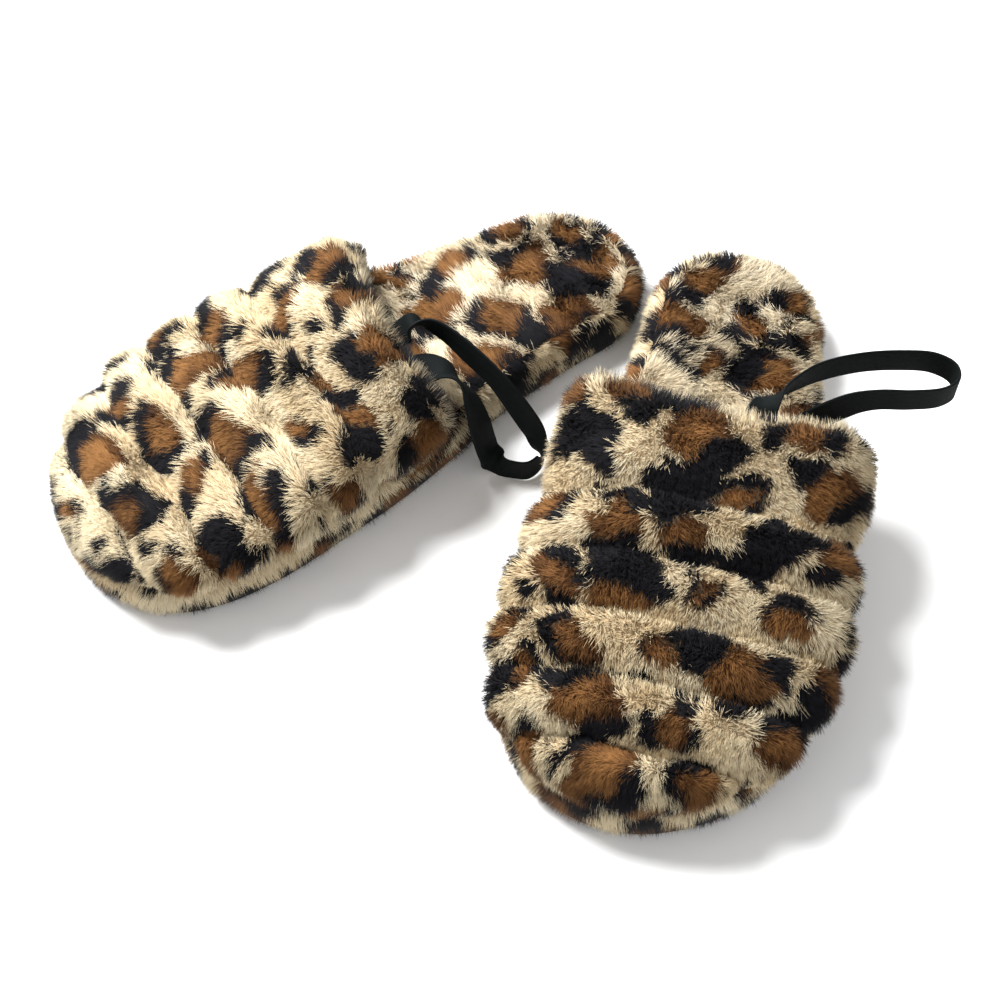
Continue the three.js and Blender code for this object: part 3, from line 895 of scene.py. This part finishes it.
def crown_at(y):
    share = np.clip((MOUTH["left"][0] - y) / (MOUTH["left"][0] - TOE_END), 0, 1)
    return MOUTH_HEIGHT + (TOE_HEIGHT - MOUTH_HEIGHT) * ease(share, -0.1, 1.05)


def puff_at(y, turn, seed):
    """How far the quilted channels stand up: soft, uneven puffs between pulled-down creases."""
    sway = 2.6 * drift(turn * 18, y * 0, 17, seed) + 1.0 * drift(turn * 30, y * 0, 7, seed + 1)
    last = FIRST_CREASE - CREASE_PITCH * (CREASES - 1)
    y = y + sway
    share = (FIRST_CREASE - y) / CREASE_PITCH
    full = np.abs(np.sin(math.pi * share)) ** PUFF_FULLNESS
    back = np.sin(np.clip((y - FIRST_CREASE) / BACK_PUFF, 0, 1) * math.pi / 2) ** 0.6
    front = np.sin(np.clip((last - y) / TOE_PUFF, 0, 1) * math.pi / 2)
    full = np.where(y >= FIRST_CREASE, back, np.where(y <= last, front, full))
    return PUFF * full * (0.86 + 0.26 * drift(turn * 22, y, 15, seed + 2))


def arch(ring, inset, y, turn, puff, slump=0.0):
    """Points of the upper at one inset, for each y and angle round the arch."""
    middle, half = width_at(ring, y.ravel())
    middle, half = middle.reshape(y.shape), half.reshape(y.shape)
    toe = TOE_END + inset
    near_toe = np.maximum(0, 1 - (y - toe) / TOE_ROUNDING)
    rounding = np.sqrt(np.maximum(0, 1 - near_toe ** 2))
    height = (crown_at(y) - inset - SHELL_BASE) * rounding
    rise = np.maximum(np.sin(turn), 0)
    bulge = BULGE_FRONT + (BULGE_BACK - BULGE_FRONT) * ease(y, FIRST_CREASE, FLEX_Y)
    outer = slump * np.maximum(-np.cos(turn), 0)
    bulge = bulge * (1 - outer)
    height = height * (1 - SLUMP_DROP * outer) * (1 - 0.5 * SLUMP_DROP * slump)
    lift = puff * rounding * rise ** PUFF_SPREAD
    x = middle + half * np.cos(turn) * (1 + bulge * rise / (1 + inset / BULGE_FADE)) + lift * np.cos(turn)
    z = SHELL_BASE + height * rise ** ARCH_FULLNESS + lift * rise
    return np.stack([x, y, z], axis=-1)


def arch_rows(foot, inset, back, share, turn, puffed, seed):
    """Rows of an arch from a set distance behind the mouth's edge to the toe."""
    ring = sole_edge(FEET[foot], inset, 320)
    toe = ring[:, 1].min() + 0.02
    turns = np.broadcast_to(turn, (len(share), len(turn)))
    y = np.full(turns.shape, MOUTH[foot][0] + 0.0)
    for _ in range(4):
        x = arch(ring, inset, np.repeat(y[:1], len(share), axis=0), turns, 0, SLUMP[foot])[..., 0]
        mouth = mouth_edge(foot, x[0])
        y = mouth[None] + back[:, None] + (toe - mouth[None] - back[:, None]) * share[:, None]
    puff = puff_at(y, turns, seed) if puffed else np.zeros_like(y)
    return arch(ring, inset, y, turns, puff, SLUMP[foot])


def make_upper(foot, seed):
    turn = np.linspace(0, math.pi, UPPER_ACROSS)
    steps = UPPER_ALONG - HEM_ROWS
    share = np.sin(np.linspace(0, 1, steps + 1)[1:] * math.pi / 2)
    roll = np.linspace(0, 1, HEM_ROWS)
    outer, inner = [], []
    for k in range(HEM_ROWS):
        angle = roll[k] * math.pi / 2
        back = np.array([HEM_REACH * math.cos(angle)])
        wrap = 1 - math.sin(angle)
        start = np.array([0.0])
        outer.append(arch_rows(foot, PILE_ROOM + HEM_ROLL_OUT * wrap, back, start, turn, False, seed)[0])
        inner.append(arch_rows(foot, LIP_INSIDE - HEM_ROLL_IN * wrap, back, start, turn, False, seed)[0])
    body = arch_rows(foot, PILE_ROOM, np.zeros(steps), share, turn, True, seed)
    fade = ease(share * UPPER_RUN, 0, 8)[:, None, None]
    flat = arch_rows(foot, PILE_ROOM, np.zeros(steps), share, turn, False, seed)
    body = flat + (body - flat) * fade
    inside = arch_rows(foot, SKIN_INSIDE, np.zeros(steps), share, turn, False, seed)
    lip = arch_rows(foot, LIP_INSIDE, np.zeros(steps), share, turn, False, seed)
    tuck = ease(share * UPPER_RUN, 7, 10)[:, None, None]
    inside = lip + (inside - lip) * tuck
    outer = np.concatenate([np.array(outer), body])
    inner = np.concatenate([np.array(inner), inside])
    rings = np.concatenate([outer, inner[:, ::-1]], axis=1)
    steps_across = np.cumsum(np.linalg.norm(np.diff(outer, axis=1), axis=2), axis=1)
    run = np.concatenate([np.zeros((len(outer), 1)), steps_across], axis=1)
    run -= run[:, UPPER_ACROSS // 2][:, None]
    crown = outer[:, UPPER_ACROSS // 2]
    length = run_along(crown)
    v = -np.repeat(length[:, None], UPPER_ACROSS, axis=1)
    inner_u, inner_v = run[:, ::-1], v + TUCKED_CLOTH
    cloth_u = np.concatenate([-run, -inner_u], axis=1)
    cloth_v = np.concatenate([v, inner_v], axis=1)
    cloth = np.stack([cloth_u, cloth_v], axis=2)
    size = 2 * UPPER_ACROSS
    faces = np.vstack([ring_faces(len(rings), size), end_faces(len(rings), size)])
    return rings.reshape(-1, 3), faces, cloth.reshape(-1, 2)


def outer_upper_faces(faces):
    place = faces % (2 * UPPER_ACROSS)
    return (place.max(1) < UPPER_ACROSS) & (place.max(1) - place.min(1) == 1)


def lip_faces(faces):
    """The hem's roll and the first few rows inside the mouth."""
    place = faces % (2 * UPPER_ACROSS)
    row = faces // (2 * UPPER_ACROSS)
    inside = (place.min(1) >= UPPER_ACROSS) & (place.max(1) - place.min(1) == 1)
    return inside & (row.max(1) < HEM_ROWS + 6)


def arch_sheet(foot, face, back, set_back):
    """A sheet between two insets of the arch, closed all round."""
    across, along = 48, 60
    turn = np.linspace(0, math.pi, across)
    share = np.sin(np.linspace(0, 1, along) * math.pi / 2)
    behind = np.full(along, set_back)
    outer = arch_rows(foot, face, behind, share, turn, False, 0)
    inner = arch_rows(foot, back, behind, share, turn, False, 0)
    rings = np.concatenate([outer, inner[:, ::-1]], axis=1)
    size = 2 * across
    return rings.reshape(-1, 3), np.vstack([ring_faces(along, size), end_faces(along, size)])


# ---- swelling padded cloth ----
def swell(piece, hold, pressure, cap, shrink, frames=20):
    """Blows a padded piece up as cloth, held by weights, and keeps each point within cap of where it was."""
    start = np.zeros(len(piece.data.vertices) * 3)
    piece.data.vertices.foreach_get("co", start)
    group = piece.vertex_groups.new(name="held")
    for level in range(0, 11):
        members = np.nonzero(np.round(hold * 10) == level)[0]
        if level and len(members):
            group.add(members.tolist(), level / 10, "REPLACE")
    cloth = piece.modifiers.new("cloth", "CLOTH")
    sim = cloth.settings
    sim.quality = 6
    sim.mass = 0.15
    sim.use_pressure = True
    sim.uniform_pressure_force = pressure
    sim.use_pressure_volume = False
    sim.vertex_group_mass = "held"
    sim.pin_stiffness = 1.0
    sim.shrink_min = shrink
    sim.tension_stiffness = 12
    sim.compression_stiffness = 12
    sim.bending_stiffness = 0.4
    sim.air_damping = 4
    sim.effector_weights.gravity = 0
    cloth.collision_settings.use_collision = False
    cloth.collision_settings.use_self_collision = False
    scene = bpy.context.scene
    scene.frame_start, scene.frame_end = 1, frames
    for step in range(1, frames + 1):
        scene.frame_set(step)
    solved = piece.evaluated_get(bpy.context.evaluated_depsgraph_get())
    end = np.zeros_like(start)
    solved.data.vertices.foreach_get("co", end)
    only_selected(piece)
    bpy.ops.object.modifier_remove(modifier="cloth")
    piece.vertex_groups.clear()
    scene.frame_set(1)
    start, end = start.reshape(-1, 3), end.reshape(-1, 3)
    move = end - start
    size = np.linalg.norm(move, axis=1)[:, None] + 1e-12
    move *= np.minimum(1, cap * MM / size)
    piece.data.vertices.foreach_set("co", (start + move).ravel())
    piece.data.update()
    return piece


def points_of(piece):
    co = np.zeros(len(piece.data.vertices) * 3)
    piece.data.vertices.foreach_get("co", co)
    return co.reshape(-1, 3) / MM


# ---- building the plush pieces ----
PRINT_SEEDS = {"left": 300, "right": 900}
FOOTBED_SEED = 30  # added to a slipper's own seed, so that each cut of cloth has its own patches
UPPER_SEED = 60


def faces_of(piece):
    """The faces' corners, in the order that the finished mesh has them."""
    return np.array([tuple(face.vertices) for face in piece.data.polygons])


def build_band(foot, seed):
    points, faces, cloth = make_band(foot)
    band = face_out(mesh_piece(f"{foot}_side_band", points, faces))
    coat_skin(band, cloth, seed)
    band.data.materials.append(plush)
    furred = faces_of(band)[furred_band_faces(faces)]
    fur = grow_pile(f"{foot}_band_pile", points, furred, cloth, BAND_PILE, plush, foot, seed + 1, seed)
    settle(band, foot)
    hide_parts(f"{foot}_side_band_front", f"{foot}_side_band_heel")
    for piece in (band, fur):
        bend_with_sole(piece)


def build_footbed(foot, side, seed):
    print_seed = seed + FOOTBED_SEED
    points, faces, cloth = make_footbed(foot)
    footbed = face_out(mesh_piece(f"{foot}_footbed", points, faces))
    ordered = faces_of(footbed)
    coat_skin(footbed, cloth, print_seed)
    footbed.data.materials.append(footbed_plush)
    place = ordered % (2 * FOOTBED_ACROSS)
    on_top = place.max(1) < FOOTBED_ACROSS
    furred = ordered[on_top & (points[ordered][:, :, 1].min(1) > mouth_edge(foot, 0) - UNDER_UPPER)]
    fur = grow_pile(
        f"{foot}_footbed_pile", points, furred, cloth, FOOTBED_PILE, footbed_plush,
        foot, seed + 2, print_seed, nap=0.5 * side,
    )
    settle(footbed, foot)
    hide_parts(f"{foot}_footbed_front", f"{foot}_footbed_heel")
    for piece in (footbed, fur):
        bend_with_sole(piece)


def swell_upper(upper, column, row, puff):
    """Swells the channels of the quilting, held at the creases, the hem and the sole."""
    free = (column > 1) & (column < UPPER_ACROSS - 2) & (row > HEM_ROWS + 1) & (row < UPPER_ALONG - 3)
    hold = np.where(free, np.clip(1.02 - CREASE_HOLD * puff, 0, 1), 1.0)
    swell(upper, hold, SWELL_PRESSURE, SWELL_CAP, SWELL_SHRINK)
    return points_of(upper)


def build_upper(foot, seed):
    print_seed = seed + UPPER_SEED
    points, faces, cloth = make_upper(foot, seed)
    upper = face_out(mesh_piece(f"{foot}_upper", points, faces))
    ordered = faces_of(upper)
    row = np.arange(len(points)) // (2 * UPPER_ACROSS)
    column = np.arange(len(points)) % (2 * UPPER_ACROSS)
    turn = math.pi * np.clip(column / (UPPER_ACROSS - 1), 0, 1)
    puff = puff_at(points[:, 1], turn, seed) / PUFF
    trim = np.where(column < UPPER_ACROSS, 0.5 + 0.5 * ease(puff, 0.25, 0.8), 0.8)
    points = swell_upper(upper, column, row, puff)
    coat_skin(upper, cloth, print_seed)
    upper.data.materials.append(plush)
    outside = outer_upper_faces(ordered)
    middle_y = points[ordered][:, :, 1].mean(1)
    front, back = np.quantile(middle_y[outside], [0.36, 0.7])
    parts = {
        "toe": outside & (middle_y < front),
        "vamp": outside & (middle_y >= front) & (middle_y < back),
        "mouth": (outside & (middle_y >= back)) | lip_faces(ordered),
    }
    furs = [
        grow_pile(
            f"{foot}_{part}_pile", points, ordered[chosen], cloth, UPPER_PILE, plush,
            foot, seed + 3 + k, print_seed, trim=trim,
        )
        for k, (part, chosen) in enumerate(parts.items())
    ]
    settle(upper, foot)
    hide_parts(f"{foot}_upper_shell", f"{foot}_mouth_hem")
    for piece in [upper] + furs:
        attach(piece, f"{foot}_forefoot")


def build_inner_layers(foot):
    for layer, face, back, set_back, material, slot in INNER_LAYERS:
        points, faces = arch_sheet(foot, face, back, set_back)
        sheet = face_out(mesh_piece(f"{foot}_{layer}", points, faces))
        sheet.data.materials.append(material)
        settle(sheet, foot)
        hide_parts(f"{foot}_upper_{layer}")
        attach(sheet, f"{foot}_forefoot")


for foot, side in FEET.items():
    build_band(foot, PRINT_SEEDS[foot])
    build_footbed(foot, side, PRINT_SEEDS[foot])
    build_upper(foot, PRINT_SEEDS[foot])
    build_inner_layers(foot)

# ---- the elastic loops ----
# Along each loop: a point on the middle of the strap, and the direction of its width there.
LOOPS = {
    "left": [
        (17, 28, 49, 0.8, 0, 0.6), (23, 35, 51.5, 0.3, 0, 1), (33, 43, 53.5, 0, 0, 1),
        (46, 49, 55, 0, 0, 1), (60, 53, 55.5, 0, 0, 1), (72, 55, 55, 0, 0, 1),
        (79.5, 52, 54.5, 0, 0, 1), (81, 46, 54, 0, 0, 1), (76.5, 41, 53.5, 0, 0, 1),
        (66, 37.5, 53, 0, 0, 1), (55, 35.5, 52.5, -0.1, 0, 1), (44, 32.5, 49.5, -0.6, 0, 1),
    ],
    "right": [
        (17, 18, 49, 0.8, 0, 0.6), (26, 24, 50, 0.2, 0, 1), (38, 27.5, 47, 0.2, 0.2, 1),
        (50, 32, 40, 0.5, 0.3, 0.8), (59, 36.5, 28, 0.5, 0.4, 0.6), (65, 40, 15, 0.3, 0.2, 1),
        (70, 39, 7.5, 0, 0.1, 1), (71, 32, 6.4, 0, 0, 1), (66.5, 26.5, 6.6, 0, 0, 1),
        (60.5, 23.5, 8, -0.5, 0.4, 1), (57.5, 22, 15, -0.4, 1, 0.3), (55, 21, 25, -0.3, 1, 0),
        (50, 20.5, 35, -0.5, 0.8, -0.3), (41, 18.5, 42, -0.95, 0, -0.3),
    ],
}
STRAP_HALF = STRAP_WIDTH / 2
STRAP_THICKNESS = 1.1
STRAP_STEPS = 300
RIBS = 13
TUCK_STEPS = ((-15.0, 0.6), (-9.0, 0.5), (-4.0, 0.2))
RIB_HEIGHT = 0.12
END_PLACES = (0.24, 0.53)  # across the mouth, in halves of the ball's width
END_DEPTH = POCKET + 1.4
END_REACH = 5.2 + STRAP_GAP  # behind the mouth's edge


def loop_end(foot, place):
    """Where the free loop starts, a gap behind its sewn end under the lining."""
    x = place * BALL_HALF
    y = mouth_edge(foot, x) + END_REACH
    turns = np.linspace(0, math.pi, 1441)
    ring = sole_edge(FEET[foot], END_DEPTH, 320)
    under = arch(ring, END_DEPTH, np.full(turns.shape, y), turns, 0)
    return under[np.abs(under[:, 0] - x).argmin()]


def make_loop(foot):
    """A ribbed elastic ribbon from one sewn end inside the mouth, round its loop and back."""
    first, last = (loop_end(foot, place) for place in END_PLACES)
    axis = (last - first) / np.linalg.norm(last - first)
    route = np.array([row[:3] for row in LOOPS[foot]], float)
    across = np.array([row[3:] for row in LOOPS[foot]], float)
    across /= np.linalg.norm(across, axis=1)[:, None]

    def tucked(end):
        return [end + np.array([0, *step]) for step in TUCK_STEPS]

    stops = np.array(tucked(first) + [first] + list(route) + [last] + tucked(last)[::-1])
    widths = np.array([axis] * 4 + list(across) + [-axis] * 4)
    fine = flowing(np.hstack([stops, widths * 40]), False, STRAP_STEPS * 4)
    run = run_along(fine[:, :3])
    even = np.linspace(0, run[-1], STRAP_STEPS)
    middle = np.stack([np.interp(even, run, fine[:, k]) for k in range(3)], axis=1)
    wide = np.stack([np.interp(even, run, fine[:, k]) for k in range(3, 6)], axis=1)
    ahead = np.gradient(middle, axis=0)
    ahead /= np.linalg.norm(ahead, axis=1)[:, None]
    wide -= ahead * (wide * ahead).sum(1)[:, None]
    wide /= np.linalg.norm(wide, axis=1)[:, None]
    out = np.cross(ahead, wide)
    section = []
    for face, order in ((1, range(2 * RIBS + 1)), (-1, range(2 * RIBS, -1, -1))):
        for k in order:
            share = k / RIBS - 1
            ridge = RIB_HEIGHT * (k % 2)
            edge = 0.5 if abs(share) > 0.99 else 1.0
            section.append((share * STRAP_HALF, face * (STRAP_THICKNESS / 2 - RIB_HEIGHT + ridge) * edge))
    section = np.array(section)
    points = middle[:, None] + wide[:, None] * section[None, :, :1] + out[:, None] * section[None, :, 1:]
    size = len(section)
    faces = np.vstack([ring_faces(STRAP_STEPS, size), end_faces(STRAP_STEPS, size)])
    piece = face_out(mesh_piece(f"{foot}_elastic_band", points.reshape(-1, 3), faces))
    weave = piece.data.uv_layers.new(name="weave")
    corners = np.zeros(len(piece.data.loops), np.int32)
    piece.data.loops.foreach_get("vertex_index", corners)
    place = np.column_stack([even[corners // size], section[corners % size, 0]])
    weave.data.foreach_set("uv", place.astype(np.float32).ravel())
    piece.data.materials.append(elastic)
    return settle(piece, foot)


for foot in FEET:
    band = make_loop(foot)
    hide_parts(f"{foot}_elastic_loop", f"{foot}_loop_end_middle", f"{foot}_loop_end_side")
    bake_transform(band)

# ---- floor and light ----
bpy.ops.object.select_all(action="DESELECT")
bpy.ops.mesh.primitive_plane_add(size=6, location=(0, 0, 0))
floor = bpy.context.object
floor.name = "floor"
floor_material, _, _, floor_shader = new_material("pale_floor", 0.9, specular=0.05)
floor_shader.inputs["Base Color"].default_value = (0.9, 0.9, 0.9, 1)
floor.data.materials.append(floor_material)

world = bpy.data.worlds.new("studio")
bpy.context.scene.world = world
world.use_nodes = True
world.node_tree.nodes["Background"].inputs["Color"].default_value = (1, 1, 1, 1)
world.node_tree.nodes["Background"].inputs["Strength"].default_value = 0.6


def soft_light(name, location, size, power):
    data = bpy.data.lights.new(name, "AREA")
    data.shape = "DISK"
    data.size = size
    data.energy = power
    lamp = bpy.data.objects.new(name, data)
    bpy.context.scene.collection.objects.link(lamp)
    lamp.location = location
    lamp.rotation_euler = (Vector((0, 0, 0.02)) - Vector(location)).to_track_quat("-Z", "Y").to_euler()
    return lamp


soft_light("key", (-0.8, 0.5, 1.25), 0.7, 60)
soft_light("fill", (0.9, -0.9, 1.2), 1.2, 5)
bpy.context.scene.view_settings.view_transform = "Standard"
